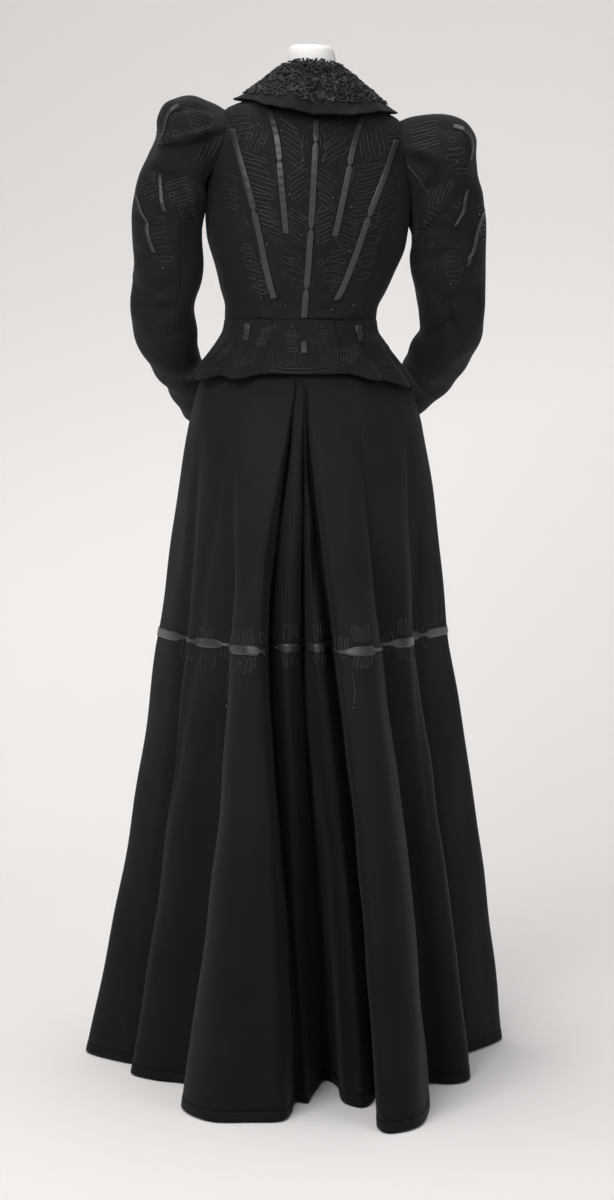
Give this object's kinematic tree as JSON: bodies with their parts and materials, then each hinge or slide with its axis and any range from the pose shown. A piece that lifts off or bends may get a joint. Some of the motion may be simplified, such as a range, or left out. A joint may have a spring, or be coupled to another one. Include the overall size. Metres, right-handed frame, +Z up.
{
  "type": "afternoon suit on a dress form",
  "caption": "Fitted jacket with puffed sleeves, flared collar and peplum over a full-length gored skirt with a centre back pleat, worn by a limbless dress form on a round stand.",
  "frame": {"origin": "middle of the underside of the stand's round base, at floor level", "axes": "+Z up, the wearer faces -Y, the wearer's left is +X"},
  "size_m": [0.5996, 0.7677, 1.4118],
  "materials": {
    "wool": "matte black wool",
    "satin": "black satin ribbon",
    "applique": "black corded and beaded applique",
    "form_cover": "off-white cover",
    "stand_paint": "satin off-white paint"
  },
  "bodies": {
    "root": {"collar": "applique", "form_base": "stand_paint", "form_pole": "stand_paint", "form_torso": "form_cover", "jacket_centre_back_left": "wool", "jacket_centre_back_right": "wool", "jacket_front_left": "wool", "jacket_front_right": "wool", "jacket_side_back_left": "wool", "jacket_side_back_right": "wool", "jacket_underarm_left": "wool", "jacket_underarm_right": "wool", "peplum_centre_tab": "wool", "peplum_left": "wool", "peplum_right": "wool", "ribbon_back_centre": "satin", "ribbon_back_inner_left": "satin", "ribbon_back_inner_right": "satin", "ribbon_back_outer_left": "satin", "ribbon_back_outer_right": "satin", "ribbon_peplum_centre": "satin", "ribbon_peplum_left": "satin", "ribbon_peplum_right": "satin", "ribbon_sleeve_back_left": "satin", "ribbon_sleeve_back_right": "satin", "ribbon_sleeve_cap_left": "satin", "ribbon_sleeve_cap_right": "satin", "ribbon_sleeve_outer_left": "satin", "ribbon_sleeve_outer_right": "satin", "skirt_back_left": "wool", "skirt_back_right": "wool", "skirt_front": "wool", "skirt_hem_binding": "wool", "skirt_knee_ribbon": "satin", "skirt_side_left": "wool", "skirt_side_right": "wool", "skirt_waistband": "wool", "sleeve_under_left": "wool", "sleeve_under_right": "wool", "sleeve_upper_left": "wool", "sleeve_upper_right": "wool"}
  },
  "joints": []
}
